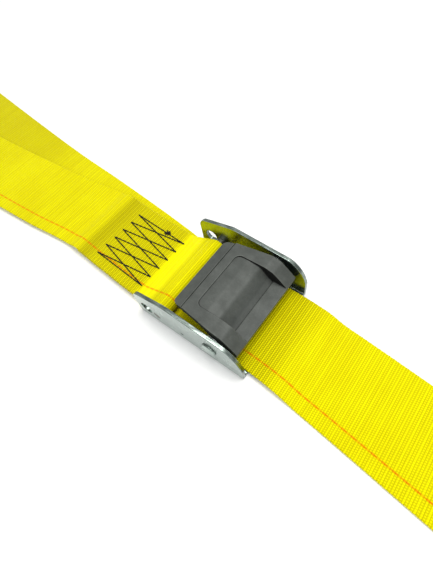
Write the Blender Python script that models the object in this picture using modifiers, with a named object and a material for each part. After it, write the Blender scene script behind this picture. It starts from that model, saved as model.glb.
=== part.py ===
"""Cam buckle tie-down for two-inch webbing, modelled at real size in metres.

Frame: origin on the underside of the base plate, straight below the lever's pivot.
+X runs along the buckle from the sewn strap to the free strap, +Y across it, +Z up.
"""

import math

import bmesh
import bpy
from mathutils import Matrix, Vector

MM = 0.001
WELD = 0.01 * MM
SHORTEST = 0.3 * MM

# Stamped channel: a base plate and two upright cheeks, bent from one sheet.
SHEET = 2.1 * MM
OUTER_HALF = 29.0 * MM
INNER_HALF = OUTER_HALF - SHEET
BEND_OUTER = 1.6 * MM
BEND_INNER = 0.8 * MM
EDGE = 0.3 * MM
CHEEK_REAR = -49.5 * MM
CHEEK_FRONT = 19.2 * MM
CHEEK_REAR_TOP = 20.1 * MM
CHEEK_CORNER = 6.0 * MM
CHEEK_PEAK = (-25.9 * MM, 26.0 * MM)
CHEEK_BROW = (5.9 * MM, 23.8 * MM)
CHEEK_TOE = 6.1 * MM
LIP_FRONT = 22.5 * MM
LIP_HALF = 25.2 * MM
TOE_FRONT = 18.9 * MM
BASE_REAR = -23.5 * MM
LASHING_HOLE = (-42.0 * MM, 10.5 * MM)
LASHING_HOLE_R = 3.8 * MM
SPRING_HOLE = (-18.5 * MM, 6.6 * MM)
SPRING_HOLE_R = 0.85 * MM

# Pivot rivet and anchor bar, both across the channel.
PIVOT_Z = 12.5 * MM
PIN_R = 2.5 * MM
PIN_CLEARANCE = 0.06 * MM
PIN_HEAD_R = 4.2 * MM
PIN_HEAD_RISE = 1.4 * MM
BAR = (-35.0 * MM, 9.3 * MM)
BAR_R = 3.0 * MM
BAR_TENON_R = 2.2 * MM
FACE_GAP = 0.05 * MM

# Cast lever.
LEVER_REAR = -27.4 * MM
LEVER_REAR_HALF = 21.4 * MM
LEVER_HALF = 25.0 * MM
LEVER_EDGE = 0.09 * MM
POCKET_HALF = 17.0 * MM
POCKET_REAR = -15.2 * MM
RECESS_R = 5.9 * MM
RECESS_INNER = 21.7 * MM
RECESS_HALF = 4.0 * MM
BOSS_R = 3.6 * MM
TOOTH_COUNT = 5
TOOTH_DEPTH = 0.8 * MM

# Return springs, one on each boss.
SPRING_WIRE_R = 0.55 * MM
SPRING_COIL_R = 4.6 * MM
SPRING_PITCH = 1.2 * MM
SPRING_TURNS = 2.5
SPRING_SIDE = 22.5 * MM

# Webbing.
STRAP_HALF = 25.0 * MM
STRAP_T = 1.7 * MM
STRAP_REST = 0.2 * MM
LAYER_GAP = 0.2 * MM
LOOP_R = BAR_R + 0.3 * MM + STRAP_T / 2
SEWN_REAR = -111.0 * MM
SEWN_FRONT = -54.0 * MM
FIXED_END = -262.0 * MM
RUNNING_REAR_END = -322.0 * MM
RUNNING_FRONT_END = 124.0 * MM
RAMP_REAR = (-43.0 * MM, -28.5 * MM)
RAMP_FRONT = (34.0 * MM, 46.0 * MM)
FIXED_PLAN = [(-262, -4.6), (-200, -2.8), (-160, -0.6), (-120, 2.8), (-90, 1.1), (-57, -0.8), (-30, -0.8)]
RUNNING_PLAN = [
    (-322, 36.0),
    (-242, 24.7),
    (-180, 16.6),
    (-133, 11.9),
    (-92, 7.2),
    (-62, 3.2),
    (-49, 1.2),
    (24, -0.6),
    (50, -3.2),
    (124, -12.0),
]

# Seam: two passes of one thread that zigzag between six points at each end.
SEAM_REAR = -96.6 * MM
SEAM_FRONT = -56.9 * MM
SEAM_POINTS = 6
SEAM_PITCH = 7.0 * MM
SEAM_SKEW = 0.4 * MM
SEAM_REAR_Y = -16.8 * MM
SEAM_FRONT_Y = -19.2 * MM
THREAD_R = 0.35 * MM

STEPS_SMALL = 24
STEPS_ROUND = 32


def reset_scene():
    for obj in list(bpy.data.objects):
        bpy.data.objects.remove(obj, do_unlink=True)


def new_collection(name):
    made = bpy.data.collections.new(name)
    bpy.context.scene.collection.children.link(made)
    return made


def make_material(name, colour, roughness, metallic):
    made = bpy.data.materials.new(name)
    made.use_nodes = True
    shader = made.node_tree.nodes["Principled BSDF"]
    shader.inputs["Base Color"].default_value = (*colour, 1.0)
    shader.inputs["Roughness"].default_value = roughness
    shader.inputs["Metallic"].default_value = metallic
    return made


# ---------------------------------------------------------------- outlines


def arc(centre, radius, start_deg, end_deg, steps):
    """Points on an arc, both ends included."""
    points = []
    for i in range(steps + 1):
        angle = math.radians(start_deg + (end_deg - start_deg) * i / steps)
        points.append((centre[0] + radius * math.cos(angle), centre[1] + radius * math.sin(angle)))
    return points


def rounded(corners, steps=5):
    """Closed outline from (x, y, radius) corners, with an arc in place of each rounded corner.

    A short arc has fewer steps, so that no edge is much under SHORTEST, or stays a plain corner.
    """
    points = []
    count = len(corners)
    for i, (x, y, radius) in enumerate(corners):
        here = Vector((x, y))
        if radius <= 0:
            points.append((x, y))
            continue
        back = (Vector(corners[i - 1][:2]) - here).normalized()
        ahead = (Vector(corners[(i + 1) % count][:2]) - here).normalized()
        half = back.angle(ahead) / 2
        pieces = min(steps, int(radius * (math.pi - 2 * half) / SHORTEST))
        if pieces < 1:
            points.append((x, y))
            continue
        centre = here + (back + ahead).normalized() * (radius / math.sin(half))
        first = (here + back * (radius / math.tan(half)) - centre).normalized()
        last = (here + ahead * (radius / math.tan(half)) - centre).normalized()
        for k in range(pieces + 1):
            swept = centre + first.slerp(last, k / pieces) * radius
            points.append((swept.x, swept.y))
    return points


def smooth_value(knots, x):
    """Height of a smooth line through (x, y) knots at x, straight beyond its ends."""
    if x <= knots[0][0]:
        i = 0
    elif x >= knots[-1][0]:
        i = len(knots) - 2
    else:
        i = max(k for k in range(len(knots) - 1) if knots[k][0] <= x)
    pairs = list(zip(knots[:-1], knots[1:]))
    slopes = [(end[1] - start[1]) / (end[0] - start[0]) for start, end in pairs]
    (x0, y0), (x1, y1) = knots[i], knots[i + 1]
    span = x1 - x0
    m0 = slopes[i] if i == 0 else (slopes[i - 1] + slopes[i]) / 2
    m1 = slopes[i] if i == len(slopes) - 1 else (slopes[i] + slopes[i + 1]) / 2
    t = (x - x0) / span
    if t < 0:
        return y0 + (x - x0) * m0
    if t > 1:
        return y1 + (x - x1) * m1
    return (
        y0 * (2 * t**3 - 3 * t**2 + 1)
        + y1 * (3 * t**2 - 2 * t**3)
        + span * m0 * (t**3 - 2 * t**2 + t)
        + span * m1 * (t**3 - t**2)
    )


def ramp(x, low, high):
    """0 before low, 1 after high, and an eased rise between them."""
    t = min(max((x - low) / (high - low), 0.0), 1.0)
    return t * t * (3 - 2 * t)


# ---------------------------------------------------------------- solids

ALONG_X = Matrix(((0, 0, 1, 0), (1, 0, 0, 0), (0, 1, 0, 0), (0, 0, 0, 1)))
ALONG_Y = Matrix.Rotation(math.radians(90), 4, "X")
ALONG_Z = Matrix.Identity(4)


def curve_to_mesh(curve_object, name, collection):
    """A welded mesh object in place of a curve object."""
    bpy.context.view_layer.update()
    depsgraph = bpy.context.evaluated_depsgraph_get()
    mesh = bpy.data.meshes.new_from_object(curve_object.evaluated_get(depsgraph))
    mesh.transform(curve_object.matrix_world)
    work = bmesh.new()
    work.from_mesh(mesh)
    bmesh.ops.remove_doubles(work, verts=work.verts, dist=1e-6)
    bmesh.ops.recalc_face_normals(work, faces=work.faces)
    work.to_mesh(mesh)
    work.free()
    bpy.data.objects.remove(curve_object, do_unlink=True)
    mesh.name = name
    made = bpy.data.objects.new(name, mesh)
    collection.objects.link(made)
    return made


def prism(name, outlines, half_length, direction, collection, shift=(0, 0, 0)):
    """Solid with the given flat outlines, run half_length each way along a direction."""
    curve = bpy.data.curves.new(name, "CURVE")
    curve.dimensions = "2D"
    curve.fill_mode = "BOTH"
    curve.extrude = half_length
    for outline in outlines:
        spline = curve.splines.new("POLY")
        spline.points.add(len(outline) - 1)
        for point, (x, y) in zip(spline.points, outline):
            point.co = (x, y, 0, 1)
        spline.use_cyclic_u = True
    holder = bpy.data.objects.new(name + "_outline", curve)
    bpy.context.scene.collection.objects.link(holder)
    holder.matrix_world = Matrix.Translation(Vector(shift)) @ direction
    return curve_to_mesh(holder, name, collection)


def wire(name, path, radius, collection, closed=False):
    """Round wire along a path of points."""
    curve = bpy.data.curves.new(name, "CURVE")
    curve.dimensions = "3D"
    curve.bevel_depth = radius
    curve.bevel_resolution = 2
    curve.use_fill_caps = not closed
    spline = curve.splines.new("POLY")
    spline.points.add(len(path) - 1)
    for point, place in zip(spline.points, path):
        point.co = (*place, 1)
    spline.use_cyclic_u = closed
    holder = bpy.data.objects.new(name + "_path", curve)
    bpy.context.scene.collection.objects.link(holder)
    return curve_to_mesh(holder, name, collection)


def turned(name, profile, steps, collection):
    """Solid turned round the Y axis from (radius, y) points that run from +Y to -Y."""
    mesh = bpy.data.meshes.new(name)
    vertices = [(radius, 0, along) for radius, along in profile]
    edges = [(i, i + 1) for i in range(len(profile) - 1)]
    mesh.from_pydata(vertices, edges, [])
    made = bpy.data.objects.new(name, mesh)
    made.rotation_euler = (math.radians(-90), 0, 0)
    collection.objects.link(made)
    screw = made.modifiers.new("turn", "SCREW")
    screw.steps = steps
    screw.render_steps = steps
    screw.use_merge_vertices = True
    screw.merge_threshold = 1e-6
    return made


def band(name, path, plan, collection):
    """Webbing along a side-view path of (x, z) points, its middle following a plan line of (x, y)."""
    knots = [(x * MM, y * MM) for x, y in plan]
    last = len(path) - 1
    work = bmesh.new()
    bmesh.ops.create_grid(work, x_segments=last, y_segments=1, size=1)
    for vertex in work.verts:
        x, z = path[round((vertex.co.x + 1) / 2 * last)]
        vertex.co = (x, smooth_value(knots, x) + math.copysign(STRAP_HALF, vertex.co.y), z)
    mesh = bpy.data.meshes.new(name)
    work.to_mesh(mesh)
    work.free()
    made = bpy.data.objects.new(name, mesh)
    collection.objects.link(made)
    thickness = made.modifiers.new("thickness", "SOLIDIFY")
    thickness.thickness = STRAP_T
    thickness.offset = 0
    thickness.use_even_offset = True
    return made


def combine(target, other, operation):
    step = target.modifiers.new(operation.lower(), "BOOLEAN")
    step.operation = operation
    step.solver = "EXACT"
    step.object = other
    other.hide_render = True
    other.display_type = "WIRE"


def soften(target, width, segments, limit_deg):
    """Round the edges. Points that coincide are joined first, as a short edge would narrow the rounding."""
    weld = target.modifiers.new("weld", "WELD")
    weld.merge_threshold = WELD
    step = target.modifiers.new("edges", "BEVEL")
    step.width = width
    step.segments = segments
    step.limit_method = "ANGLE"
    step.angle_limit = math.radians(limit_deg)


def shade(target, limit_deg=35):
    """Smooth shading that keeps the sharp edges."""
    target.data.shade_smooth()
    target.data.set_sharp_from_angle(angle=math.radians(limit_deg))


def round_bar(name, centre, radius, half_length, collection, steps=STEPS_SMALL):
    """Plain cylinder along Y, for bores and bosses."""
    outline = arc((0, 0), radius, 0, 360, steps)[:-1]
    return prism(name, [outline], half_length, ALONG_Y, collection, (centre[0], 0, centre[1]))


# ---------------------------------------------------------------- sub-parts


def cheek_outline():
    """Side view of the channel, from below the base plate to the top of the cheeks."""
    brow = arc((0, 0), 1, 0, 90, 14)
    front = [
        (CHEEK_BROW[0] + (CHEEK_FRONT - CHEEK_BROW[0]) * x, CHEEK_TOE + (CHEEK_BROW[1] - CHEEK_TOE) * z)
        for x, z in brow
    ]
    corners = [
        (CHEEK_REAR, -3 * MM, 0),
        (LIP_FRONT + MM, -3 * MM, 0),
        (LIP_FRONT + MM, SHEET + MM, 0),
        (CHEEK_FRONT, SHEET + MM, 0),
    ]
    corners += [(x, z, 0) for x, z in front]
    corners += [(*CHEEK_PEAK, 12 * MM), (CHEEK_REAR, CHEEK_REAR_TOP, CHEEK_CORNER)]
    return rounded(corners)


def build_frame(parts, cutters):
    """Base plate and both cheeks, one stamped piece."""
    tall = 32 * MM
    channel = [
        (-OUTER_HALF, 0, BEND_OUTER),
        (OUTER_HALF, 0, BEND_OUTER),
        (OUTER_HALF, tall, 0),
        (INNER_HALF, tall, 0),
        (INNER_HALF, SHEET, BEND_INNER),
        (-INNER_HALF, SHEET, BEND_INNER),
        (-INNER_HALF, tall, 0),
        (-OUTER_HALF, tall, 0),
    ]
    frame = prism("buckle_frame", [rounded(channel, 4)], 60 * MM, ALONG_X, parts)
    side = prism("frame_side", [cheek_outline()], 40 * MM, ALONG_Y, cutters)
    combine(frame, side, "INTERSECT")
    near_half = [
        (-60 * MM, -OUTER_HALF - MM, 0),
        (TOE_FRONT, -OUTER_HALF - MM, 0),
        (TOE_FRONT, -LIP_HALF, 0),
        (LIP_FRONT, -LIP_HALF, 2 * MM),
    ]
    plan = near_half + [(x, -y, r) for x, y, r in reversed(near_half)]
    combine(frame, prism("frame_plan", [rounded(plan)], 50 * MM, ALONG_Z, cutters), "INTERSECT")
    soften(frame, EDGE, 2, 40)
    window = [
        (-60 * MM, -INNER_HALF, 0),
        (BASE_REAR, -INNER_HALF, 0),
        (BASE_REAR, INNER_HALF, 0),
        (-60 * MM, INNER_HALF, 0),
    ]
    combine(frame, prism("frame_window", [rounded(window)], 6 * MM, ALONG_Z, cutters), "DIFFERENCE")
    holes = [
        ("lashing_bore", LASHING_HOLE, LASHING_HOLE_R),
        ("spring_bore", SPRING_HOLE, SPRING_HOLE_R),
        ("pin_bore", (0, PIVOT_Z), PIN_R + PIN_CLEARANCE),
        ("bar_bore", BAR, BAR_TENON_R + PIN_CLEARANCE),
    ]
    for name, centre, radius in holes:
        combine(frame, round_bar(name, centre, radius, 35 * MM, cutters), "DIFFERENCE")
    return frame


def build_pin(parts):
    """Pivot rivet: a plain shank and a domed head outside each cheek."""
    seat = OUTER_HALF + FACE_GAP
    dome = arc((0, 0), 1, 90, 20, 6)
    head = [(PIN_HEAD_R * x, seat + PIN_HEAD_RISE * (0.35 + 0.65 * y)) for x, y in dome]
    head[0] = (0, head[0][1])
    half = head + [(PIN_HEAD_R, seat + 0.25 * PIN_HEAD_RISE), (PIN_HEAD_R, seat), (PIN_R, seat)]
    profile = half + [(radius, -along) for radius, along in reversed(half)]
    pin = turned("pivot_rivet", profile, STEPS_ROUND, parts)
    pin.location = (0, 0, PIVOT_Z)
    shade(pin)
    return pin


def build_bar(parts):
    """Anchor bar with a shouldered tenon, riveted flush, in each cheek."""
    shoulder = INNER_HALF - FACE_GAP * 2
    flush = OUTER_HALF - FACE_GAP
    half = [(0, flush), (BAR_TENON_R, flush), (BAR_TENON_R, shoulder), (BAR_R, shoulder)]
    profile = half + [(radius, -along) for radius, along in reversed(half)]
    bar = turned("anchor_bar", profile, STEPS_ROUND, parts)
    bar.location = (BAR[0], 0, BAR[1])
    shade(bar)
    return bar


def tooth_radius(angle_deg):
    """Distance of the cam's toothed nose from the pivot, by angle forward of straight down."""
    return (8.1 + (angle_deg - 10) * 0.058) * MM


def on_nose(angle_deg, radius):
    angle = math.radians(angle_deg)
    return (radius * math.sin(angle), PIVOT_Z - radius * math.cos(angle))


def lever_outline():
    """Side view of the lever: thumb plate at the rear, toothed nose under the front."""
    nose = [on_nose(a, tooth_radius(a)) for a in range(50, 5, -5)]
    corners = [
        (-27.2, 21.4, 0.9),
        (-27.0, 18.7, 0.9),
        (-10.5, 20.6, 3.0),
        (-5.4, 16.5, 3.0),
        (-6.0, 11.5, 3.0),
        (-3.0, 6.9, 2.0),
    ]
    points = [(x * MM, z * MM, r * MM) for x, z, r in corners]
    points += [(x, z, 0) for x, z in reversed(nose)]
    front = [
        (13.3, 12.0, 3.0),
        (14.0, 15.9, 0.8),
        (9.8, 19.9, 3.0),
        (6.0, 23.2, 4.0),
        (1.5, 24.5, 5.0),
        (-4.0, 24.4, 8.0),
        (-19.9, 23.8, 0.3),
        (-20.6, 23.0, 0.0),
    ]
    points += [(x * MM, z * MM, r * MM) for x, z, r in front]
    return rounded(points)


def pocket_floor():
    """Side view of the thumb recess, open upwards and to the front."""
    floor = [
        (POCKET_REAR / MM, 40, 0),
        (POCKET_REAR / MM, 23.1, 0.3),
        (-8.6, 23.5, 8.0),
        (-1.6, 22.7, 4.0),
        (3.4, 17.2, 4.0),
        (5.7, 15.6, 0),
        (6.2, 16.2, 0.2),
        (20.0, 15.9, 0),
        (20.0, 40, 0),
    ]
    return rounded([(x * MM, z * MM, r * MM) for x, z, r in floor])


def tooth_grooves():
    """V grooves between the teeth, in side view."""
    grooves = []
    for k in range(TOOTH_COUNT):
        angle = 12 + 8 * k
        root = on_nose(angle, tooth_radius(angle) - TOOTH_DEPTH)
        wide = 5.5
        low = on_nose(angle - wide, tooth_radius(angle) + TOOTH_DEPTH)
        high = on_nose(angle + wide, tooth_radius(angle) + TOOTH_DEPTH)
        grooves.append([root, low, high])
    return grooves


def spring_recess():
    """Side view of the room for a return spring: round about the pivot, and open to the rear for its leg."""
    coil = [(x, z + PIVOT_Z) for x, z in arc((0, 0), RECESS_R, -110, 90, 20)]
    return coil + [(-9.0 * MM, 20.4 * MM), (-16.0 * MM, 20.4 * MM), (-16.0 * MM, 5.0 * MM)]


def build_lever(parts, cutters):
    """Cast cam lever that widens to the front, with a thumb recess, side rims and a toothed nose."""
    lever = prism("cam_lever", [lever_outline()], LEVER_HALF + MM, ALONG_Y, parts)
    plan = [
        (LEVER_REAR, -LEVER_REAR_HALF, 4 * MM),
        (0, -LEVER_HALF, 20 * MM),
        (30 * MM, -LEVER_HALF, 0),
        (30 * MM, LEVER_HALF, 0),
        (0, LEVER_HALF, 20 * MM),
        (LEVER_REAR, LEVER_REAR_HALF, 4 * MM),
    ]
    combine(lever, prism("lever_plan", [rounded(plan, 6)], 60 * MM, ALONG_Z, cutters), "INTERSECT")
    pocket = prism("pocket_side", [pocket_floor()], 30 * MM, ALONG_Y, cutters)
    mouth = [
        (POCKET_REAR, -POCKET_HALF, 3 * MM),
        (30 * MM, -POCKET_HALF, 0),
        (30 * MM, POCKET_HALF, 0),
        (POCKET_REAR, POCKET_HALF, 3 * MM),
    ]
    combine(pocket, prism("pocket_plan", [rounded(mouth)], 60 * MM, ALONG_Z, cutters), "INTERSECT")
    combine(lever, pocket, "DIFFERENCE")
    soften(lever, LEVER_EDGE, 2, 35)
    groove = [(-20.9 * MM, 30 * MM), (-20.9 * MM, 22.2 * MM), (-20.2 * MM, 22.2 * MM), (-20.2 * MM, 30 * MM)]
    combine(lever, prism("lip_groove", [groove], 40 * MM, ALONG_Y, cutters), "DIFFERENCE")
    for side in (-1, 1):
        middle = (0, side * (RECESS_INNER + RECESS_HALF), 0)
        room = prism("spring_recess", [spring_recess()], RECESS_HALF, ALONG_Y, cutters, middle)
        combine(lever, room, "DIFFERENCE")
    boss = round_bar("lever_boss", (0, PIVOT_Z), BOSS_R, INNER_HALF - 0.3 * MM, cutters, STEPS_ROUND)
    combine(lever, boss, "UNION")
    bore = round_bar("lever_bore", (0, PIVOT_Z), PIN_R + PIN_CLEARANCE, 35 * MM, cutters, STEPS_ROUND)
    combine(lever, bore, "DIFFERENCE")
    combine(lever, prism("tooth_grooves", tooth_grooves(), 40 * MM, ALONG_Y, cutters), "DIFFERENCE")
    return lever


def spring_path(side):
    """Torsion spring round a lever boss: a leg under the thumb plate, coils, a leg hooked in the cheek."""
    inner = SPRING_SIDE
    outer = inner + SPRING_PITCH * SPRING_TURNS
    steps = int(SPRING_TURNS * 14)
    path = [
        (-10.6 * MM, 18.6 * MM, 19.4 * MM),
        (-10.6 * MM, inner - 0.8 * MM, 19.4 * MM),
        (-9.8 * MM, inner, 19.1 * MM),
    ]
    for i in range(steps + 1):
        turn = i / steps * SPRING_TURNS
        angle = math.radians(90) - turn * 2 * math.pi
        path.append(
            (
                SPRING_COIL_R * math.cos(angle),
                inner + (outer - inner) * i / steps,
                PIVOT_Z + SPRING_COIL_R * math.sin(angle),
            )
        )
    hook = (SPRING_HOLE[0], OUTER_HALF - 0.3 * MM, SPRING_HOLE[1])
    path += [
        (SPRING_HOLE[0] + 0.9 * MM, outer, SPRING_HOLE[1] + 0.1 * MM),
        (SPRING_HOLE[0], outer + 0.8 * MM, SPRING_HOLE[1]),
        hook,
    ]
    return [(x, side * y, z) for x, y, z in path]


def build_spring(name, side, parts):
    spring = wire(name, spring_path(side), SPRING_WIRE_R, parts)
    shade(spring)
    return spring


def stations(start, end, step):
    count = max(1, round(abs(end - start) / step))
    return [start + (end - start) * i / count for i in range(count + 1)]


def fixed_strap_path():
    """Side view of the sewn strap's middle line: under ply, loop round the bar, top ply."""
    low = STRAP_REST + STRAP_T + LAYER_GAP + STRAP_T / 2
    high = low + STRAP_T + LAYER_GAP
    reach = BAR[0] - SEWN_FRONT
    rise = BAR[1] - low
    under = math.atan2(rise, reach) - math.asin(LOOP_R / math.hypot(rise, reach))
    drop = BAR[1] - high
    over = math.atan2(drop, reach) + math.asin(LOOP_R / math.hypot(drop, reach))
    path = [(x, low) for x in stations(SEWN_REAR, SEWN_FRONT, 9 * MM)]
    path += arc(BAR, LOOP_R, -90 + math.degrees(under), 90 + math.degrees(over), 20)
    step_front = SEWN_REAR - 1 * MM
    step_rear = SEWN_REAR - 9 * MM
    top = stations(SEWN_FRONT, step_front, 7 * MM)
    top += stations(step_front, step_rear, 4 * MM)[1:]
    top += stations(step_rear, FIXED_END, 7 * MM)[1:]
    path += [(x, low + (high - low) * ramp(x, step_rear, step_front)) for x in top]
    return path


def build_fixed_strap(parts):
    """Sewn strap: its end wraps the anchor bar and is stitched back on itself."""
    strap = band("fixed_strap", fixed_strap_path(), FIXED_PLAN, parts)
    shade(strap)
    return strap


def running_height(x):
    """Height of the running strap's middle line: it lies on the ground and rises over the base plate."""
    low = STRAP_REST + STRAP_T / 2
    high = SHEET + LAYER_GAP + STRAP_T / 2
    return low + (high - low) * (ramp(x, *RAMP_REAR) - ramp(x, *RAMP_FRONT))


def build_running_strap(parts):
    """Adjustable strap, fed through between the base plate and the cam."""
    xs = stations(RUNNING_REAR_END, RAMP_REAR[0], 10 * MM)
    xs += stations(RAMP_REAR[0], RAMP_REAR[1], 3 * MM)[1:]
    xs += stations(RAMP_REAR[1], RAMP_FRONT[0], 10 * MM)[1:]
    xs += stations(RAMP_FRONT[0], RAMP_FRONT[1], 3 * MM)[1:]
    xs += stations(RAMP_FRONT[1], RUNNING_FRONT_END, 10 * MM)[1:]
    strap = band("running_strap", [(x, running_height(x)) for x in xs], RUNNING_PLAN, parts)
    shade(strap)
    return strap


def seam_point(end, index):
    """Turning point of the zigzag seam: end is 'rear' or 'front', index counts from 0 across the strap."""
    x, y = (SEAM_REAR, SEAM_REAR_Y) if end == "rear" else (SEAM_FRONT, SEAM_FRONT_Y)
    return Vector((x + SEAM_SKEW * index, y + SEAM_PITCH * index))


def seam_pass(turns, height):
    """Zigzag through the turning points, with a small half-round at each."""
    path = []
    for k, point in enumerate(turns):
        if k in (0, len(turns) - 1):
            path.append((point.x, point.y, height))
            continue
        outward = 1 if turns[k].x > turns[k - 1].x else -1
        sideways = 1 if turns[k + 1].y > turns[k - 1].y else -1
        for degrees in (-90, -45, 0, 45, 90):
            angle = math.radians(degrees)
            x = point.x + outward * 0.6 * MM * (math.cos(angle) - 1)
            y = point.y + sideways * 0.6 * MM * math.sin(angle)
            path.append((x, y, height))
    return path


def build_seam(parts, cutters):
    """Zigzag seam thread on the sewn strap, out and back, as one lattice."""
    height = STRAP_REST + 3 * STRAP_T + 2 * LAYER_GAP + 0.3 * MM + THREAD_R
    ends = ("rear", "front")
    out = [seam_point(ends[k % 2], k) for k in range(SEAM_POINTS)]
    back = [seam_point("rear", 0)] + [seam_point(ends[(k + 1) % 2], k) for k in range(SEAM_POINTS)]
    back.append(seam_point("front", SEAM_POINTS - 1))
    seam = wire("seam_thread", seam_pass(out, height), THREAD_R, parts)
    second = wire("seam_return", seam_pass(back, height + 0.12 * MM), THREAD_R, cutters)
    combine(seam, second, "UNION")
    return seam


# ---------------------------------------------------------------- assembly


def joint_empty(name, place, collection, members):
    """Empty on a joint's axis that carries the pieces which move together."""
    empty = bpy.data.objects.new(name, None)
    empty.location = place
    collection.objects.link(empty)
    bpy.context.view_layer.update()
    for piece in members:
        piece.parent = empty
        piece.matrix_parent_inverse = empty.matrix_world.inverted()


def main():
    reset_scene()
    parts = new_collection("cam_buckle_tie_down")
    cutters = new_collection("cutters")
    plated = make_material("zinc_plated_steel", (0.66, 0.69, 0.67), 0.28, 1.0)
    cast = make_material("cast_grey_alloy", (0.115, 0.125, 0.12), 0.55, 0.6)
    bright = make_material("spring_steel", (0.55, 0.56, 0.58), 0.3, 1.0)
    webbing = make_material("yellow_webbing", (0.83, 0.76, 0.01), 0.75, 0.0)
    thread = make_material("black_thread", (0.02, 0.02, 0.02), 0.8, 0.0)

    frame = build_frame(parts, cutters)
    pin = build_pin(parts)
    bar = build_bar(parts)
    lever = build_lever(parts, cutters)
    spring_near = build_spring("return_spring_near", -1, parts)
    spring_far = build_spring("return_spring_far", 1, parts)
    fixed = build_fixed_strap(parts)
    running = build_running_strap(parts)
    seam = build_seam(parts, cutters)

    finishes = [
        (plated, (frame, pin, bar)),
        (cast, (lever,)),
        (bright, (spring_near, spring_far)),
        (webbing, (fixed, running)),
        (thread, (seam,)),
    ]
    for finish, pieces in finishes:
        for piece in pieces:
            piece.data.materials.clear()
            piece.data.materials.append(finish)

    joint_empty("lever_axis", (0, 0, PIVOT_Z), parts, (lever,))
    joint_empty("loop_axis", (BAR[0], 0, BAR[1]), parts, (fixed, seam))
    joint_empty("feed_axis", (0, 0, SHEET), parts, (running,))


main()
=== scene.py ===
"""The looks of a cam buckle tie-down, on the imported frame.

Woven webbing, a zigzag seam, a cast lever and plated steel. Lengths are in millimetres unless MM is applied.
"""

import math

import bmesh
import bpy
import numpy as np
from mathutils import Matrix, Vector


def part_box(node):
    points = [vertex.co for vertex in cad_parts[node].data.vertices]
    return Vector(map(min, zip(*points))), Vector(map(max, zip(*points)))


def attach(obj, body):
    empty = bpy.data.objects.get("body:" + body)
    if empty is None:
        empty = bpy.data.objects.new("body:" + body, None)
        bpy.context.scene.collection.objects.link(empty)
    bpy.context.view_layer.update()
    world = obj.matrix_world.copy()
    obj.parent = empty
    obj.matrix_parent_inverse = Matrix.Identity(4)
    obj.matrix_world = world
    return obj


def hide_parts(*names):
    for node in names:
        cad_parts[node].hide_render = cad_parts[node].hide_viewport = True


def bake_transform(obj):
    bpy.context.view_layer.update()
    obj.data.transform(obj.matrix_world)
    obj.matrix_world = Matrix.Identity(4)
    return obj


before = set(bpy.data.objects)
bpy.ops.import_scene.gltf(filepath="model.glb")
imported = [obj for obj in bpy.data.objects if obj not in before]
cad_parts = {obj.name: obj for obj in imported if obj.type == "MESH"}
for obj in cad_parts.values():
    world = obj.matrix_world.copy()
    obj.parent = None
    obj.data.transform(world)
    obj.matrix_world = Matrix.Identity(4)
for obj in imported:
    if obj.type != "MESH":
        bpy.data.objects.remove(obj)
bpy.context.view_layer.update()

MM = 0.001

# Webbing: transverse ribs, each a row of yarn floats set like bricks.
STRAP_HALF = 25.0
STRAP_T = 1.7
RIB = 2.4
RIB_STEPS = 8
YARNS = 48
YARN_STEPS = 4
RIB_HEIGHT = 0.30
SELVEDGE = 0.9
TRACER_Y = -17.2
TRACER_HALF = 0.42
TRACER_GAP = 0.6
LAYER_GAP = 0.2
REST = 0.2
SHEET = 2.1

# Stations where the straps change height, along the buckle.
SEWN_REAR = -111.0
SEWN_FRONT = -54.0
FIXED_END = -262.0
RUNNING_ENDS = (-322.0, 124.0)
RAMP_REAR = (-43.0, -28.5)
RAMP_FRONT = (34.0, 46.0)
FIXED_PLAN = [(-262, -4.6), (-200, -2.8), (-160, -0.6), (-120, 2.8), (-90, 1.1), (-57, -0.8), (-30, -0.8)]
RUNNING_PLAN = [
    (-322, 36.0),
    (-242, 24.7),
    (-180, 16.6),
    (-133, 11.9),
    (-92, 7.2),
    (-62, 3.2),
    (-49, 1.2),
    (24, -0.6),
    (50, -3.2),
    (124, -12.0),
]

# Seam: one thread out and back between six turning points at each end.
SEAM_REAR = (-96.6, -16.8)
SEAM_FRONT = (-56.9, -19.2)
SEAM_POINTS = 6
SEAM_PITCH = 7.0
SEAM_SKEW = 0.4
STITCH = 3.1
THREAD_R = 0.36
KNOT = (-69.0, 17.0)
KNOT_BARS = ((2.2, 0.5), (1.8, 1.3), (-1.6, 1.7), (0.4, 2.1))

# Buckle.
PIVOT_Z = 12.5
POCKET_HALF = 17.0
COIL_R = 4.6
WIRE_R = 0.55
COIL_PITCH = 1.2
COIL_TURNS = 2.5
COIL_SIDE = 22.5
SPRING_HOLE = (-18.5, 6.6)
OUTER_HALF = 29.0
WELD = 0.002
SHARP_DEG = 50
CAST_VOXEL = 0.18
CAST_UNEVENNESS = 0.06

# Camera, in the row frame.
CAMERA_TARGET = (-23.12, 4.52, 0.0)
CAMERA_AZIMUTH = 49.65
CAMERA_ELEVATION = 58.49
CAMERA_ROLL = -14.3
CAMERA_DISTANCE = 209.29
CAMERA_LENS = 23.5


# ---------------------------------------------------------------- node helpers


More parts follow.
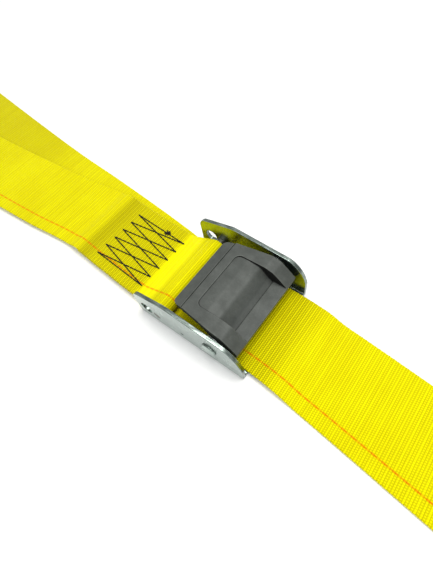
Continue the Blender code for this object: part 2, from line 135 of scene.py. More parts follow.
class Shader:
    """A material under construction: a Principled BSDF and short calls for the nodes that feed it."""

    def __init__(self, name, **values):
        self.material = bpy.data.materials.new(name)
        self.material.use_nodes = True
        self.tree = self.material.node_tree
        self.principled = self.tree.nodes["Principled BSDF"]
        for socket, value in values.items():
            self.principled.inputs[socket.replace("_", " ")].default_value = value

    def node(self, kind, inputs=(), **settings):
        made = self.tree.nodes.new("ShaderNode" + kind)
        for key, value in settings.items():
            setattr(made, key, value)
        for key, value in dict(inputs).items():
            self.feed(made.inputs[key], value)
        return made

    def feed(self, socket, value):
        if isinstance(value, bpy.types.NodeSocket):
            self.tree.links.new(value, socket)
        else:
            socket.default_value = value

    def set(self, socket, value):
        self.principled.inputs[socket].default_value = value

    def to(self, socket, value):
        self.feed(self.principled.inputs[socket], value)

    def place(self):
        return self.node("TexCoord").outputs["Object"]

    def attribute(self, name):
        return self.node("Attribute", attribute_name=name).outputs["Fac"]

    def stretched(self, vector, scale):
        return self.node("Mapping", {"Vector": vector, "Scale": scale}).outputs[0]

    def noise(self, vector, scale, detail=3.0, roughness=0.55):
        inputs = {"Vector": vector, "Scale": scale, "Detail": detail, "Roughness": roughness}
        return self.node("TexNoise", inputs).outputs["Fac"]

    def span(self, value, low, high, to_low=0.0, to_high=1.0):
        inputs = {"Value": value, "From Min": low, "From Max": high, "To Min": to_low, "To Max": to_high}
        return self.node("MapRange", inputs).outputs[0]

    def mix(self, factor, first, second, blend="MIX"):
        made = self.node("Mix", data_type="RGBA", blend_type=blend)
        self.feed(made.inputs[0], factor)
        self.feed(made.inputs[6], first)
        self.feed(made.inputs[7], second)
        return made.outputs[2]

    def maths(self, operation, first, second):
        return self.node("Math", {0: first, 1: second}, operation=operation).outputs[0]

    def bump(self, height, distance, strength=1.0, normal=None):
        made = self.node("Bump", {"Height": height, "Distance": distance, "Strength": strength})
        if normal is not None:
            self.feed(made.inputs["Normal"], normal)
        return made.outputs[0]


def srgb(red, green, blue):
    """Linear colour from 0-255 screen values."""
    channels = [c / 255 for c in (red, green, blue)]
    linear = [c / 12.92 if c <= 0.04045 else ((c + 0.055) / 1.055) ** 2.4 for c in channels]
    return (*linear, 1.0)


# ---------------------------------------------------------------- materials


def webbing_material():
    """Polyester webbing: bright floats, olive painted shade in the hollows between them, painted shade along the
    strap, an orange tracer yarn, fine filaments along each yarn.
    """
    yellow_gloss = (1.0, 0.93, 0.08, 1.0)
    made = Shader("yellow_webbing_weave", Roughness=0.58, Specular_Tint=yellow_gloss)
    made.set("Specular IOR Level", 0.3)
    made.set("Sheen Weight", 0.12)
    made.set("Sheen Roughness", 0.4)
    made.set("Sheen Tint", yellow_gloss)
    crown = made.attribute("crown")
    painted_shade = made.attribute("painted_shade")
    tracer = made.attribute("tracer")
    place = made.place()
    uv = made.node("UVMap", uv_map="weave").outputs[0]
    patches = made.noise(place, 45.0, 3.0)
    rows = made.noise(made.stretched(uv, (0.42, 0.012, 1.0)), 1.0, 3.0)
    filaments = made.noise(made.stretched(uv, (0.35, 9.0, 1.0)), 1.6, 4.0, 0.7)

    bright = made.mix(made.span(patches, 0.35, 0.65), srgb(243, 234, 0), srgb(251, 246, 0))
    bright = made.mix(made.span(rows, 0.38, 0.66, 0.0, 0.6), bright, srgb(226, 214, 0))
    # Painted shade on the strap: olive darkening, as much as each strap's look gives.
    shade_darkened = made.mix(painted_shade, bright, srgb(196, 186, 0))
    # Painted shade in the weave: olive where crown is low, in the hollows between the floats.
    woven = made.mix(crown, srgb(122, 112, 0), shade_darkened)
    streaked = made.mix(made.span(filaments, 0.35, 0.75, 0.0, 0.14), woven, srgb(186, 172, 0))
    # The tracer yarn gets the same painted shade in its hollows, in dark orange.
    orange = made.mix(crown, srgb(150, 62, 0), srgb(240, 122, 4))
    made.to("Base Color", made.mix(tracer, streaked, orange))
    made.to("Roughness", made.span(filaments, 0.2, 0.8, 0.5, 0.68))
    made.to("Normal", made.bump(filaments, 0.00006, 0.6))
    return made.material


def cut_end_material():
    """Heat-sealed cut end of webbing."""
    made = Shader("sealed_webbing_end", Roughness=0.45)
    ripples = made.noise(made.place(), 900.0, 3.0)
    made.to("Base Color", made.mix(made.span(ripples, 0.3, 0.7), srgb(170, 150, 4), srgb(222, 204, 10)))
    made.to("Normal", made.bump(ripples, 0.0001, 0.6))
    return made.material


def thread_material():
    """Black bonded thread with a dull sheen."""
    made = Shader("black_seam_thread", Roughness=0.7)
    made.set("Specular IOR Level", 0.3)
    fuzz = made.noise(made.place(), 2500.0, 3.0)
    made.to("Base Color", made.mix(made.span(fuzz, 0.3, 0.7), srgb(10, 9, 8), srgb(30, 27, 24)))
    made.to("Normal", made.bump(fuzz, 0.00005, 0.5))
    return made.material


def cast_material():
    """Matt grey cast alloy: a fine sandy skin, faint scuffs, edges rubbed lighter and painted shade in the
    recess.
    """
    made = Shader("cast_grey_alloy_skin", Metallic=0.2)
    made.set("Specular IOR Level", 0.4)
    place = made.place()
    grain = made.noise(place, 2200.0, 4.0, 0.7)
    cloud = made.noise(place, 160.0, 4.0, 0.6)
    scuffs = made.noise(made.stretched(place, (240.0, 900.0, 300.0)), 1.0, 5.0, 0.65)
    worn = made.attribute("worn")
    painted_recess_shade = made.attribute("painted_recess_shade")
    body = made.mix(made.span(cloud, 0.35, 0.65), srgb(69, 73, 69), srgb(82, 86, 82))
    sandy = made.mix(made.span(grain, 0.3, 0.7, 0.0, 0.5), body, srgb(54, 57, 54))
    scuffed = made.mix(made.span(scuffs, 0.62, 0.8, 0.0, 0.4), sandy, srgb(112, 116, 110))
    rub = made.maths("MULTIPLY", worn, made.span(cloud, 0.3, 0.7, 0.3, 0.9))
    rubbed = made.mix(rub, scuffed, srgb(122, 127, 120))
    # Near-black painted shade on the recess walls and in sunk places.
    made.to("Base Color", made.mix(painted_recess_shade, rubbed, srgb(10, 11, 9)))
    made.to("Roughness", made.span(made.maths("ADD", grain, cloud), 0.7, 1.3, 0.62, 0.48))
    made.to("Normal", made.bump(grain, 0.00008, 0.6))
    return made.material


def plated_material():
    """Bright zinc plate over stamped steel: cloudy gloss, drawing marks, dark reflections painted in streaks on
    the cut edges.
    """
    made = Shader("zinc_plated_steel_sheet", Metallic=1.0)
    place = made.place()
    cloud = made.noise(place, 140.0, 4.0, 0.6)
    drawn = made.noise(made.stretched(place, (120.0, 1500.0, 1500.0)), 1.0, 3.0, 0.6)
    blotches = made.noise(made.stretched(place, (180.0, 2200.0, 180.0)), 1.0, 3.0, 0.6)
    tint = made.mix(made.span(cloud, 0.35, 0.65), srgb(146, 160, 153), srgb(170, 183, 176))
    cut_edge = made.attribute("cut_edge")
    # Painted reflection: dark streaks along the cut edges.
    dark_edge_reflection = made.maths("MULTIPLY", cut_edge, made.span(blotches, 0.4, 0.56, 0.15, 0.85))
    made.to("Base Color", made.mix(dark_edge_reflection, tint, srgb(84, 92, 88)))
    made.to("Roughness", made.span(cloud, 0.3, 0.7, 0.18, 0.3))
    made.to("Normal", made.bump(drawn, 0.00002, 0.25))
    return made.material


def shaded_bar_material():
    """Steel of the bar inside the loop, darkened with painted shade."""
    made = Shader("steel_bar_painted_shade", Metallic=1.0)
    # Painted shade: the bar's steel is kept dark.
    cloud = made.noise(made.place(), 300.0, 3.0)
    made.to("Base Color", made.mix(made.span(cloud, 0.3, 0.7), srgb(96, 96, 88), srgb(128, 128, 118)))
    made.to("Roughness", made.span(cloud, 0.3, 0.7, 0.35, 0.5))
    return made.material


def wire_material():
    """Drawn spring wire, a little oily."""
    made = Shader("drawn_spring_wire", Metallic=1.0)
    marks = made.noise(made.place(), 1800.0, 3.0)
    made.to("Base Color", made.mix(made.span(marks, 0.3, 0.7), srgb(150, 152, 154), srgb(196, 198, 200)))
    made.to("Roughness", made.span(marks, 0.3, 0.7, 0.24, 0.4))
    return made.material


def floor_material():
    """Pale matt studio paper."""
    made = Shader("studio_paper", Roughness=0.9)
    made.to("Base Color", (0.93, 0.93, 0.93, 1.0))
    return made.material


# ---------------------------------------------------------------- paths


def ramp(x, low, high):
    """0 before low, 1 after high, with an eased rise between them."""
    t = np.clip((x - low) / (high - low), 0.0, 1.0)
    return t * t * (3 - 2 * t)


def plan_line(knots, x):
    """Smooth line through (x, y) knots, the straps' middle seen from above."""
    kx, ky = np.array(knots, float).T
    slope = np.diff(ky) / np.diff(kx)
    tangent = np.concatenate([slope[:1], (slope[1:] + slope[:-1]) / 2, slope[-1:]])
    i = np.clip(np.searchsorted(kx, x) - 1, 0, len(kx) - 2)
    span = kx[i + 1] - kx[i]
    t = (x - kx[i]) / span
    rise = ky[i] * (2 * t**3 - 3 * t**2 + 1) + ky[i + 1] * (3 * t**2 - 2 * t**3)
    return rise + span * (tangent[i] * (t**3 - 2 * t**2 + t) + tangent[i + 1] * (t**3 - t**2))


def walked(path, step):
    """The path again, with points an even step apart, and each point's distance along it."""
    path = np.array(path, float)
    length = np.concatenate([[0], np.cumsum(np.linalg.norm(np.diff(path, axis=0), axis=1))])
    count = int(length[-1] / step)
    along = np.arange(count + 1) * step
    return np.stack([np.interp(along, length, axis) for axis in path.T], axis=1), along


def relaxed(path, window):
    """The path with its corners rounded by a moving average, ends kept."""
    half = window // 2
    padded = np.concatenate([np.repeat(path[:1], half, 0), path, np.repeat(path[-1:], half, 0)])
    kernel = np.hanning(2 * half + 3)[1:-1]
    kernel /= kernel.sum()
    smooth = np.stack([np.convolve(axis, kernel, "valid") for axis in padded.T], axis=1)
    smooth[:half] = path[:half]
    smooth[-half:] = path[-half:]
    return smooth


def bar_centre():
    low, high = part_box("anchor_bar")
    centre = (low + high) / 2 / MM
    return centre.x, centre.z, (high.z - low.z) / 2 / MM


UNDER = REST + STRAP_T + LAYER_GAP + STRAP_T / 2
OVER = UNDER + STRAP_T + LAYER_GAP


def fixed_path():
    """Side view of the sewn strap's middle: under ply, loop round the bar, top ply, single strap."""
    bar_x, bar_z, bar_r = bar_centre()
    loop = bar_r + 0.3 + STRAP_T / 2
    reach = bar_x - SEWN_FRONT
    rise, drop = bar_z - UNDER, bar_z - OVER
    start = -90 + math.degrees(math.atan2(rise, reach) - math.asin(loop / math.hypot(rise, reach)))
    end = 90 + math.degrees(math.atan2(drop, reach) + math.asin(loop / math.hypot(drop, reach)))
    path = [(SEWN_REAR, UNDER), (SEWN_FRONT, UNDER)]
    for angle in np.radians(np.linspace(start, end, 90)):
        path.append((bar_x + loop * math.cos(angle), bar_z + loop * math.sin(angle)))
    path.append((SEWN_FRONT, OVER))
    for x in np.arange(SEWN_FRONT - 1, FIXED_END - 0.5, -1.0):
        hump = 0.9 * math.exp(-(((x - SEWN_REAR) / 8.0) ** 2))
        wave = 0.25 * (1 + math.sin(x / 17.0)) * float(ramp(-x, 125, 160))
        path.append((x, UNDER + (OVER - UNDER) * float(ramp(x, SEWN_REAR - 9, SEWN_REAR - 1)) + hump + wave))
    even, _ = walked(path, 0.2)
    return relaxed(even, 13)


def running_path():
    """Side view of the running strap's middle: on the ground, up over the base plate, down again."""
    low = REST + STRAP_T / 2
    high = SHEET + LAYER_GAP + STRAP_T / 2
    xs = np.arange(RUNNING_ENDS[0], RUNNING_ENDS[1] + 0.1, 0.25)
    zs = low + (high - low) * (ramp(xs, *RAMP_REAR) - ramp(xs, *RAMP_FRONT))
    return np.stack([xs, zs], axis=1)


# ---------------------------------------------------------------- meshes


def mesh_object(name, vertices, faces, material, smooth=True):
    mesh = bpy.data.meshes.new(name)
    mesh.from_pydata((np.asarray(vertices, float) * MM).tolist(), [], faces)
    mesh.update()
    if smooth:
        mesh.shade_smooth()
    mesh.materials.append(material)
    made = bpy.data.objects.new(name, mesh)
    bpy.context.scene.collection.objects.link(made)
    return made


def store(mesh, label, values):
    """Keep one number per vertex, for the material to read."""
    marks = mesh.attributes.new(label, "FLOAT", "POINT")
    marks.data.foreach_set("value", np.asarray(values, np.float32).ravel())


def ring_faces(rings, around):
    """Quads between neighbouring closed rings of points."""
    i, j = np.meshgrid(np.arange(rings - 1), np.arange(around), indexing="ij")
    k = (j + 1) % around
    quads = np.stack([i * around + j, i * around + k, (i + 1) * around + k, (i + 1) * around + j], axis=-1)
    return quads.reshape(-1, 4).tolist()


def tube(points, radius, sides=10):
    """Vertices and faces of a round tube through the points, with flat ends."""
    points = np.asarray(points, float)
    along = np.gradient(points, axis=0)
    along /= np.linalg.norm(along, axis=1, keepdims=True)
    side = np.cross(along[0], (0.31, 0.17, 0.93))
    rings = []
    radii = np.broadcast_to(radius, len(points))
    for place, ahead, size in zip(points, along, radii):
        side = side - ahead * (side @ ahead)
        side /= np.linalg.norm(side)
        third = np.cross(ahead, side)
        turn = np.linspace(0, 2 * np.pi, sides, endpoint=False)[:, None]
        rings.append(place + size * (np.cos(turn) * side + np.sin(turn) * third))
    faces = ring_faces(len(rings), sides)
    last = (len(rings) - 1) * sides
    faces.append(list(range(sides))[::-1])
    faces.append([last + k for k in range(sides)])
    return np.concatenate(rings), faces


def tubes_object(name, paths, radius, material, sides=10):
    vertices, faces, base = [], [], 0
    for path in paths:
        more, quads = tube(path, radius, sides)
        vertices.append(more)
        faces += [[base + v for v in face] for face in quads]
        base += len(more)
    return mesh_object(name, np.concatenate(vertices), faces, material)


def weave(along, across, face):
    """Height and painted shade of the woven surface, 0 deep between the floats to 1 on them, and the tracer
    yarn.

    A rib is two rows of floats set like bricks. The first row stands higher, and the second is more open.
    """
    rib = np.floor(along / RIB + 1e-6)
    phase = along / RIB - rib
    second = phase >= 0.5
    strand = (across + STRAP_HALF) * YARNS / (2 * STRAP_HALF) + 0.5 * second + 0.25 * face
    hill = np.abs(np.sin(2 * np.pi * phase)) ** 0.6 * np.where(second, 0.86, 1.0)
    cell = np.abs(np.sin(np.pi * strand)) ** 0.5
    proud = np.where(second, 0.72, 1.0)
    height = proud * hill * (0.55 + 0.45 * cell)
    shade = hill * np.where(second, cell, 0.35 + 0.65 * cell)
    lane = np.exp(-(((across - TRACER_Y) / TRACER_HALF) ** 2))
    return height, shade, lane * np.where((rib + face) % 2 == 0, 1.0, TRACER_GAP)


def webbing(name, path, plan, look, material, end_material):
    """Strap of woven webbing along a side-view path.

    look(x, along) gives the share of the rib height kept, the contrast of the weave's painted shade and the
    painted shade over the strap.
    """
    step = RIB / RIB_STEPS
    middle, along = walked(path, step)
    tangent = np.gradient(middle, axis=0)
    tangent /= np.linalg.norm(tangent, axis=1, keepdims=True)
    normal = np.stack([-tangent[:, 1], tangent[:, 0]], axis=1)
    shift = plan_line(plan, middle[:, 0])
    columns = YARNS * YARN_STEPS
    across = np.linspace(-STRAP_HALF, STRAP_HALF, columns + 1)
    edge = np.clip((np.abs(across) - (STRAP_HALF - SELVEDGE)) / SELVEDGE, 0, 1)
    taper = np.sqrt(1 - edge**2)
    keep, contrast, painted_shade = (value[:, None] for value in look(middle[:, 0], along))
    values = {"crown": [], "tracer": [], "painted_shade": []}
    sheets = []
    for face in (1, -1):
        rise, shade, tracer = weave(along[:, None], across[None, :], (1 - face) // 2)
        core = STRAP_T / 2 - RIB_HEIGHT
        height = (core + RIB_HEIGHT * (rise * keep + 0.7 * (1 - keep))) * taper[None, :]
        x = middle[:, :1] + normal[:, :1] * face * height
        z = middle[:, 1:] + normal[:, 1:] * face * height
        scallop = 0.12 * np.abs(np.sin(np.pi * along / RIB))[:, None] * np.sign(across) * (edge > 0)
        y = shift[:, None] + across[None, :] - scallop
        sheets.append(np.stack(np.broadcast_arrays(x, y, z), axis=-1))
        # crown: 1 on the floats, lower in the hollows, where painted shade darkens the weave.
        values["crown"].append(1 - contrast * (1 - shade))
        values["tracer"].append(tracer * np.ones_like(shade))
        values["painted_shade"].append(painted_shade * np.ones_like(shade))
    top, bottom = sheets
    ring = np.concatenate([top, bottom[:, -2:0:-1]], axis=1)
    around = ring.shape[1]
    faces = ring_faces(len(ring), around)
    body = len(faces)
    under = [0] + [around - j for j in range(1, columns)] + [columns]
    last = (len(ring) - 1) * around
    for base, order in ((0, 1), (last, -1)):
        for j in range(columns):
            corners = [j, j + 1, under[j + 1], under[j]]
            corners = list(dict.fromkeys(corners))
            faces.append([base + c for c in corners][:: -order])
    made = mesh_object(name, ring.reshape(-1, 3), faces, material)
    made.data.materials.append(end_material)
    slots = np.zeros(len(faces), int)
    slots[body:] = 1
    made.data.polygons.foreach_set("material_index", slots)
    for label, (first, second) in values.items():
        store(made.data, label, np.concatenate([first, second[:, -2:0:-1]], axis=1))
    corner = np.zeros(len(made.data.loops), int)
    made.data.loops.foreach_get("vertex_index", corner)
    lanes = np.concatenate([across, across[-2:0:-1] + 3 * STRAP_HALF])
    places = np.stack(np.broadcast_arrays(along[:, None], lanes[None, :]), axis=-1).reshape(-1, 2)
    made.data.uv_layers.new(name="weave").data.foreach_set("uv", places[corner].astype(np.float32).ravel())
    return made


# ---------------------------------------------------------------- seam


def seam_turns():
    """Turning points of the out and back passes of the zigzag seam, seen from above."""
    rear = [(SEAM_REAR[0] + SEAM_SKEW * k, SEAM_REAR[1] + SEAM_PITCH * k) for k in range(SEAM_POINTS)]
    front = [(SEAM_FRONT[0] + SEAM_SKEW * k, SEAM_FRONT[1] + SEAM_PITCH * k) for k in range(SEAM_POINTS)]
    out = [(rear, front)[k % 2][k] for k in range(SEAM_POINTS)]
    back = [rear[0]] + [(front, rear)[k % 2][k] for k in range(SEAM_POINTS)] + [front[-1]]
    return out, back


def stitched(turns, surface, face, phase=0.0):
    """Thread path that runs over the surface and dips through it at every stitch."""
    path = []
    for start, end in zip(turns[:-1], turns[1:]):
        start, end = np.array(start), np.array(end)
        length = np.linalg.norm(end - start)
        count = max(1, round(length / STITCH))
        for t in np.linspace(0, 1, count * 12, endpoint=False):
            x, y = start + (end - start) * t
            beat = abs(math.sin(math.pi * (t * count + phase)))
            path.append((x, y, surface(x) + face * (THREAD_R * 0.75 - 0.75 * (1 - beat**0.45))))
    x, y = turns[-1]
    path.append((x, y, surface(x) - face * 0.6))
    return path


def two_ply(path, radius, pitch=1.3):
    """Two strands twisted round each other along a path."""
    even, along = walked(path, 0.14)
    ahead = np.gradient(even, axis=0)
    ahead /= np.linalg.norm(ahead, axis=1, keepdims=True)
    side = np.cross(ahead, (0, 0, 1.0))
    side /= np.linalg.norm(side, axis=1, keepdims=True) + 1e-9
    third = np.cross(side, ahead)
    turn = (2 * math.pi * along / pitch)[:, None]
    offset = 0.5 * radius * (np.cos(turn) * side + np.sin(turn) * third)
    return [even + offset, even - offset]


def build_seam(path, material):
    """Top thread on the upper ply and bobbin thread under the lower ply, with the tied-off end."""
    over = path[len(path) // 3:]
    order = np.argsort(over[:, 0])
    top_x, top_z = over[order, 0], over[order, 1]

    def top(x):
        return float(np.interp(x, top_x, top_z)) + STRAP_T / 2 - 0.06

    def bottom(_x):
        return UNDER - STRAP_T / 2 + 0.28

    out, back = seam_turns()
    strands = []
    for turns, phase in ((out, 0.0), (back, 0.5)):
        strands += two_ply(stitched(turns, top, 1, phase), THREAD_R)
    knot_x, knot_y = KNOT
    height = top(knot_x)
    for dx, dy in KNOT_BARS:
        arch = [
            (knot_x + dx * (2 * t - 1), knot_y + dy * (2 * t - 1), height - 0.3 + 0.75 * math.sin(math.pi * t))
            for t in np.linspace(0, 1, 16)
        ]
        strands += two_ply(arch, THREAD_R)
    seam = tubes_object("seam_thread_top", strands, THREAD_R * 0.56, material, 8)
    bobbin = []
    for turns, phase in ((out, 0.5), (back, 0.0)):
        bobbin += two_ply(stitched(turns, bottom, -1, phase), THREAD_R)
    under = tubes_object("seam_thread_bobbin", bobbin, THREAD_R * 0.56, material, 8)
    return seam, under


# ---------------------------------------------------------------- metal pieces


def crisp_copy(node, name, material):
    """A welded, smooth-shaded copy of a CAD node, with even normals over its rounded edges."""
    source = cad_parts[node]
    mesh = source.data.copy()
    mesh.name = name
    if "custom_normal" in mesh.attributes:
        mesh.attributes.remove(mesh.attributes["custom_normal"])
    work = bmesh.new()
    work.from_mesh(mesh)
    bmesh.ops.remove_doubles(work, verts=work.verts, dist=WELD * MM)
    bmesh.ops.dissolve_limit(
        work, angle_limit=math.radians(0.4), verts=work.verts, edges=work.edges, delimit={"NORMAL"}
    )
    work.to_mesh(mesh)
    work.free()
    mesh.shade_smooth()
    mesh.set_sharp_from_angle(angle=math.radians(SHARP_DEG))
    mesh.materials.clear()
    mesh.materials.append(material)
    made = bpy.data.objects.new(name, mesh)
    bpy.context.scene.collection.objects.link(made)
    mark_cut_edges(mesh)
    weighted = made.modifiers.new("even_normals", "WEIGHTED_NORMAL")
    weighted.keep_sharp = True
    weighted.weight = 60
    return made


def mark_cut_edges(mesh):
    """Mark the faces that look up or along the buckle: the sheet's sheared edges, where dark reflections are
    painted.
    """
    values = np.zeros(len(mesh.polygons) * 3)
    mesh.polygons.foreach_get("normal", values)
    sideways = np.abs(values.reshape(-1, 3)[:, 1])
    marks = mesh.attributes.new("cut_edge", "FLOAT", "FACE")
    marks.data.foreach_set("value", (sideways < 0.8).astype(np.float32))


def cast_copy(node, name, material):
    """A copy of a CAD node with the soft edges and faint unevenness of a casting."""
    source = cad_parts[node]
    mesh = source.data.copy()
    mesh.name = name
    if "custom_normal" in mesh.attributes:
        mesh.attributes.remove(mesh.attributes["custom_normal"])
    work = bmesh.new()
    work.from_mesh(mesh)
    bmesh.ops.remove_doubles(work, verts=work.verts, dist=WELD * MM)
    work.to_mesh(mesh)
    work.free()
    mesh.materials.clear()
    mesh.materials.append(material)
    made = bpy.data.objects.new(name, mesh)
    bpy.context.scene.collection.objects.link(made)
    remesh = made.modifiers.new("skin", "REMESH")
    remesh.mode = "VOXEL"
    remesh.voxel_size = CAST_VOXEL * MM
    remesh.use_smooth_shade = True
    soften = made.modifiers.new("soften", "SMOOTH")
    soften.factor = 0.5
    soften.iterations = 2
    texture = bpy.data.textures.new("cast_unevenness", "CLOUDS")
    texture.noise_scale = 0.004
    texture.noise_depth = 2
    uneven = made.modifiers.new("uneven", "DISPLACE")
    uneven.texture = texture
    uneven.texture_coords = "LOCAL"
    uneven.strength = CAST_UNEVENNESS * MM
    uneven.mid_level = 0.5
    bpy.context.view_layer.update()
    final = bpy.data.meshes.new_from_object(made.evaluated_get(bpy.context.evaluated_depsgraph_get()))
    final.name = name
    made.modifiers.clear()
    made.data = final
    final.shade_smooth()
    wear(final)
    return made


def wear(mesh):
    """Rubbed crests, from how far each point stands out from its neighbours, and painted shade on the recess's
    side walls and in sunk places.
    """
    count = len(mesh.vertices)
    points = np.zeros(count * 3)
    mesh.vertices.foreach_get("co", points)
    points = points.reshape(-1, 3) / MM
    normals = np.zeros(count * 3)
    mesh.vertex_normals.foreach_get("vector", normals)
    normals = normals.reshape(-1, 3)
    ends = np.zeros(len(mesh.edges) * 2, int)
    mesh.edges.foreach_get("vertices", ends)
    a, b = ends.reshape(-1, 2).T
    degree = np.bincount(ends, minlength=count)[:, None]
    swept = points.copy()
    for _ in range(6):
        total = np.zeros_like(swept)
        np.add.at(total, a, swept[b])
        np.add.at(total, b, swept[a])
        swept = total / degree
    proud = ((points - swept) * normals).sum(axis=1)
    store(mesh, "worn", np.clip((proud - 0.03) / 0.1, 0, 1))
    x, y, _ = points.T
    # Painted shade: side walls inside the pocket, and sunk places on the upper part.
    inside = (np.abs(y) < POCKET_HALF + 0.3) & (x > -17) & (x < 14.5) & (points[:, 2] > 15)
    facing = np.clip((np.abs(normals[:, 1]) - 0.5) / 0.3, 0, 1) * inside
    sunk = np.clip((-proud - 0.03) / 0.06, 0, 1) * (points[:, 2] > 15)
    store(mesh, "painted_recess_shade", np.clip(facing + 0.8 * sunk, 0, 1))


def spring_path(side):
    """Torsion spring: a leg under the lever's rim, coils round the boss, a leg hooked in the cheek."""
    inner = COIL_SIDE
    outer = inner + COIL_PITCH * COIL_TURNS
    path = [(-10.6, 18.6, 19.4), (-10.6, inner - 0.8, 19.4), (-9.8, inner, 19.1)]
    for turns in np.linspace(0, COIL_TURNS, int(COIL_TURNS * 40) + 1):
        angle = math.radians(90) - turns * 2 * math.pi
        sideways = inner + (outer - inner) * turns / COIL_TURNS
        path.append((COIL_R * math.cos(angle), sideways, PIVOT_Z + COIL_R * math.sin(angle)))
    hole_x, hole_z = SPRING_HOLE
    path += [
        (hole_x + 0.9, outer, hole_z + 0.1),
        (hole_x, outer + 0.8, hole_z),
        (hole_x, OUTER_HALF - 0.3, hole_z),
    ]
    even, _ = walked([(x, side * y, z) for x, y, z in path], 0.25)
    return relaxed(even, 5)


def build_spring(name, side, material):
    return tubes_object(name, [spring_path(side)], WIRE_R, material, 14)


# ---------------------------------------------------------------- studio


def build_floor(material):
    mesh = bpy.data.meshes.new("studio_floor")
    work = bmesh.new()
    bmesh.ops.create_grid(work, x_segments=1, y_segments=1, size=4.0)
    work.to_mesh(mesh)
    work.free()
    mesh.materials.append(material)
    floor = bpy.data.objects.new("studio_floor", mesh)
    floor.location.z = -0.05 * MM
    bpy.context.scene.collection.objects.link(floor)
    return floor


def area_light(name, place, target, size, energy, colour=(1, 1, 1)):
    data = bpy.data.lights.new(name, "AREA")
    data.shape = "SQUARE"
    data.size = size
    data.energy = energy
    data.color = colour
    light = bpy.data.objects.new(name, data)
    light.location = place
    light.rotation_euler = (Vector(target) - Vector(place)).to_track_quat("-Z", "Y").to_euler()
    bpy.context.scene.collection.objects.link(light)
    return light


def build_world():
    """White studio, a little greyer towards the horizon, so that bright metal has something to show."""
    world = bpy.data.worlds.new("studio")
    world.use_nodes = True
    nodes, links = world.node_tree.nodes, world.node_tree.links
    background = nodes["Background"]
    place = nodes.new("ShaderNodeTexCoord")
    split = nodes.new("ShaderNodeSeparateXYZ")
    fade = nodes.new("ShaderNodeValToRGB")
    links.new(place.outputs["Generated"], split.inputs[0])
    links.new(split.outputs["Z"], fade.inputs[0])
    links.new(fade.outputs[0], background.inputs[0])
    fade.color_ramp.elements[0].position = 0.15
    fade.color_ramp.elements[0].color = (0.62, 0.63, 0.63, 1)
    fade.color_ramp.elements[1].position = 0.6
    fade.color_ramp.elements[1].color = (1, 1, 1, 1)
    background.inputs[1].default_value = 0.8
    bpy.context.scene.world = world


def build_camera():
    azimuth, elevation, roll = (math.radians(a) for a in (CAMERA_AZIMUTH, CAMERA_ELEVATION, CAMERA_ROLL))
    back = Vector(
        (
            math.sin(azimuth) * math.cos(elevation),
            -math.cos(azimuth) * math.cos(elevation),
            math.sin(elevation),
        )
    )
    right = (-back).cross(Vector((0, 0, 1))).normalized()
    up = right.cross(-back)
    level = Matrix((right, up, back)).transposed()
    turn = Matrix.Rotation(roll, 3, "Z")
    data = bpy.data.cameras.new("camera")
    data.lens = CAMERA_LENS
    data.clip_start = 0.005
    data.clip_end = 20
    camera = bpy.data.objects.new("camera", data)
    camera.matrix_world = (level @ turn).to_4x4()
    camera.location = (Vector(CAMERA_TARGET) + back * CAMERA_DISTANCE) * MM
    bpy.context.scene.collection.objects.link(camera)
    bpy.context.scene.camera = camera


# ---------------------------------------------------------------- assembly


def bump_at(x, centre, reach):
    """Smooth hill, 1 at the centre and near 0 beyond its reach."""
    return np.exp(-(((x - centre) / reach) ** 2))


def sewn_look(x, along):
    """Ribs of the sewn strap: flatter, with less painted shade in the weave, where it climbs to the bar; painted
    shade deepens and darkens the weave at the seam, in a band at its rear end, along the waves of the single
    strap and on the under ply.
    """
    climb = ramp(x, -57, -54) * (1 - ramp(x, -46, -41))
    seam = ramp(x, -112, -104) * (1 - ramp(x, -60, -56))
    inside = along < SEWN_FRONT - SEWN_REAR
    keep = 1 - 0.4 * climb
    contrast = np.clip(0.58 + 0.3 * seam - 0.5 * climb, 0, 1)
    # Painted shade: following the waves of the single strap, over the seam, in a band at its rear end, and on
    # the under ply below the top ply.
    waves = 0.06 + 0.06 * np.sin(x / 14.0)
    painted_shade = waves * (1 - ramp(x, -125, -112)) + 0.3 * seam + 0.5 * bump_at(x, -104, 6)
    return keep, contrast, np.where(inside, 0.3, np.clip(painted_shade, 0, 1))


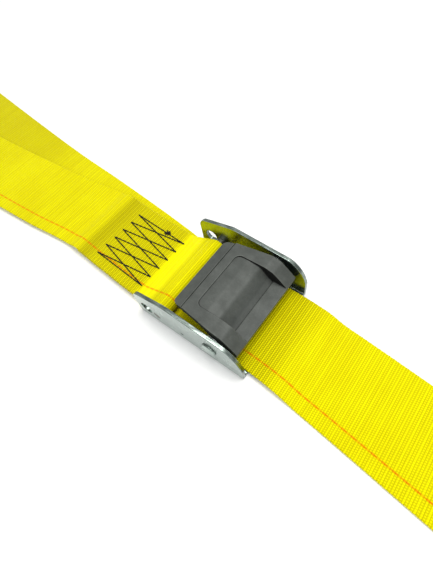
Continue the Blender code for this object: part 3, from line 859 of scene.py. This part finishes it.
def running_look(x, _along):
    """Ribs of the running strap: deeper in front of the lever, with painted shade from the lever in the weave
    and on the strap there; painted shade also darkens its far left end.
    """
    near_lever = ramp(x, -20, 10) * (1 - ramp(x, 22, 38))
    keep = 0.85 + 0.15 * near_lever
    # Painted shade: the lever's shade in front of it, and shade along the far left end.
    contrast = 0.62 + 0.3 * near_lever
    painted_shade = 0.15 * near_lever + 0.4 * (1 - ramp(x, -215, -165)) + 0.05
    return keep, contrast, np.clip(painted_shade, 0, 1)


def main():
    webbing_finish = webbing_material()
    sealed = cut_end_material()
    thread = thread_material()
    cast = cast_material()
    plated = plated_material()
    wire = wire_material()

    sewn_path = fixed_path()
    fixed = webbing("sewn_webbing", sewn_path, FIXED_PLAN, sewn_look, webbing_finish, sealed)
    running = webbing("running_webbing", running_path(), RUNNING_PLAN, running_look, webbing_finish, sealed)
    seam, bobbin = build_seam(sewn_path, thread)
    for piece, body, node, slot in (
        (fixed, "sewn_strap", "fixed_strap", "yellow_webbing"),
        (running, "free_strap", "running_strap", "yellow_webbing"),
        (seam, "sewn_strap", "seam_thread", "black_thread"),
    ):
        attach(piece, body)
        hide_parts(node)
    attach(bobbin, "sewn_strap")

    for node, name, finish in (
        ("buckle_frame", "stamped_frame", plated),
        ("pivot_rivet", "peened_rivet", plated),
        ("anchor_bar", "turned_bar", shaded_bar_material()),
    ):
        piece = crisp_copy(node, name, finish)
        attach(piece, "buckle")
        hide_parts(node)
    lever = cast_copy("cam_lever", "cast_lever", cast)
    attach(lever, "lever")
    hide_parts("cam_lever")
    for name, side in (("return_spring_near", -1), ("return_spring_far", 1)):
        piece = build_spring("wound_" + name, side, wire)
        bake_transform(piece)
        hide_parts(name)

    build_floor(floor_material())
    build_world()
    area_light("key", (0.05, 0.12, 0.75), (-0.03, 0, 0), 0.4, 4.0, (1.0, 0.99, 0.97))
    area_light("fill", (0.5, -0.6, 0.6), (-0.02, 0, 0), 0.5, 1.2)
    build_camera()
    bpy.context.scene.view_settings.view_transform = "Standard"


main()
